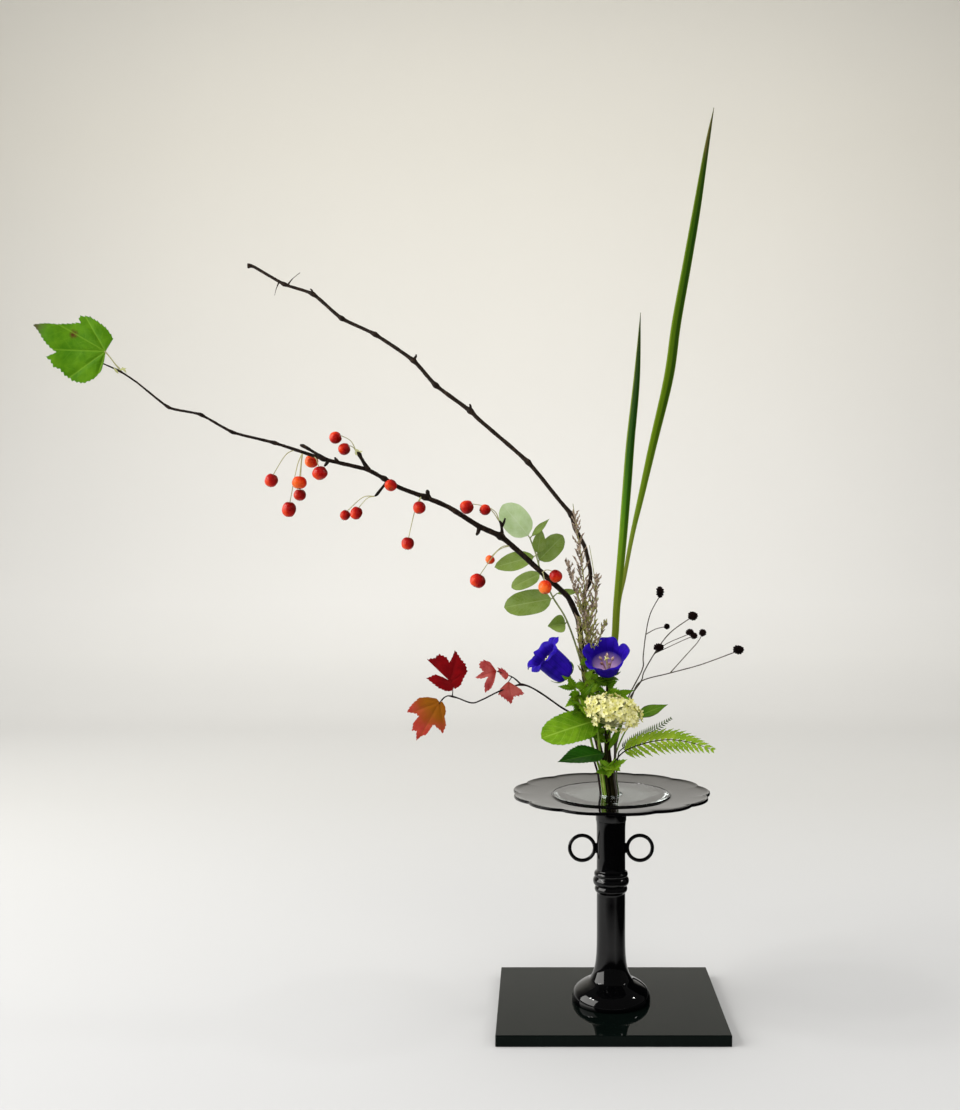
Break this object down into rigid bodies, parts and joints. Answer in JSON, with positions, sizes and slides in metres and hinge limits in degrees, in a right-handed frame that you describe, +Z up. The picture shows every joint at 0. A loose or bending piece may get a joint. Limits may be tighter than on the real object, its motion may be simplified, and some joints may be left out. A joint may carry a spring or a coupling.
{
  "type": "ikebana arrangement",
  "caption": "Ikebana arrangement of fruiting and bare branches, sword leaves, bell flowers and ferns standing in a tall black footed vase with a scalloped plate on a lacquer board.",
  "frame": {"origin": "centre of the board's underside, on the surface that it stands on", "axes": "+Z up along the vase, +X to the arrangement's right as the viewer sees it, the viewer stands at -Y"},
  "size_m": [0.761, 0.2203, 1.022],
  "materials": {
    "board_lacquer": "deep gloss black lacquer over wood, mirror smooth",
    "vase_black": "cast bronze under gloss black lacquer",
    "still_water": "clear still water",
    "straw": "tight bundle of dry rice straw",
    "crabapple_bark": "near-black brown bark with knuckles and pale pores",
    "bare_bark": "dark reddish brown bark with fine rings",
    "fruit_red": "waxy red to orange fruit skin with fine pale dots",
    "fruit_orange": "waxy orange fruit skin, slightly wrinkled where it has dried",
    "tip_leaf_green": "bright green toothed leaf with a rusty spot",
    "sword_green": "dark green blade with fine long veins, yellow-green below",
    "sage_green": "matt sage green leaf with a pale bloom",
    "sage_twig": "olive twig bark",
    "maple_red": "red autumn leaf, orange-brown towards its middle",
    "maple_bark": "thin dark red-brown twig",
    "bell_violet": "deep blue-violet petal with darker veins",
    "campanula_green": "fresh green stem and leaf with fine hairs",
    "plume_straw": "dry pinkish brown grass spikelets on an olive stalk",
    "burnet_brown": "wiry grey-brown stem with near-black flower heads",
    "cream_floret": "cream florets tinged yellow-green",
    "broad_green": "bright green leaf with pale veins",
    "dark_green": "dark green leaf with a light midrib",
    "fern_green": "yellow-green fern frond",
    "fern_grey": "dark grey-green feathery frond"
  },
  "bodies": {
    "root": {"display_board": "board_lacquer", "usubata_body": "vase_black", "usubata_plate": "vase_black", "ring_handle_left": "vase_black", "ring_handle_right": "vase_black", "water": "still_water", "straw_holder": "straw", "crabapple_branch": "crabapple_bark", "tip_leaf": "tip_leaf_green", "bare_branch": "bare_bark", "sword_leaf_tall": "sword_green", "sword_leaf_short": "sword_green", "grass_plume": "plume_straw", "oval_leaf_twig": "sage_twig", "maple_twig": "maple_bark", "campanula_stem_left": "campanula_green", "campanula_stem_right": "campanula_green", "bell_flower_left": "bell_violet", "bell_flower_right": "bell_violet", "burnet_tall": "burnet_brown", "burnet_middle": "burnet_brown", "burnet_long": "burnet_brown", "broad_leaf": "broad_green", "dark_leaf": "dark_green", "basal_leaf": "fern_green", "right_leaf": "broad_green", "green_fern": "fern_green", "dark_fern": "fern_grey", "cream_flower_head": "cream_floret", "crabapples_1": "fruit_red", "crabapples_2": "fruit_red", "crabapples_3": "fruit_red", "crabapples_4": "fruit_red", "crabapples_5": "fruit_red", "crabapples_6": "fruit_red", "crabapples_7": "fruit_red", "crabapples_8": "fruit_red", "crabapples_9": "fruit_red", "crabapples_10": "fruit_orange", "oval_leaf_1": "sage_green", "oval_leaf_2": "sage_green", "oval_leaf_3": "sage_green", "oval_leaf_4": "sage_green", "oval_leaf_5": "sage_green", "oval_leaf_6": "sage_green", "oval_leaf_7": "sage_green", "oval_leaf_8": "sage_green", "oval_leaf_9": "sage_green", "maple_leaf_1": "maple_red", "maple_leaf_2": "maple_red", "maple_leaf_3": "maple_red", "maple_leaf_4": "maple_red", "maple_leaf_5": "maple_red", "campanula_leaf_1": "campanula_green", "campanula_leaf_2": "campanula_green", "campanula_leaf_3": "campanula_green", "campanula_leaf_4": "campanula_green"}
  },
  "joints": []
}
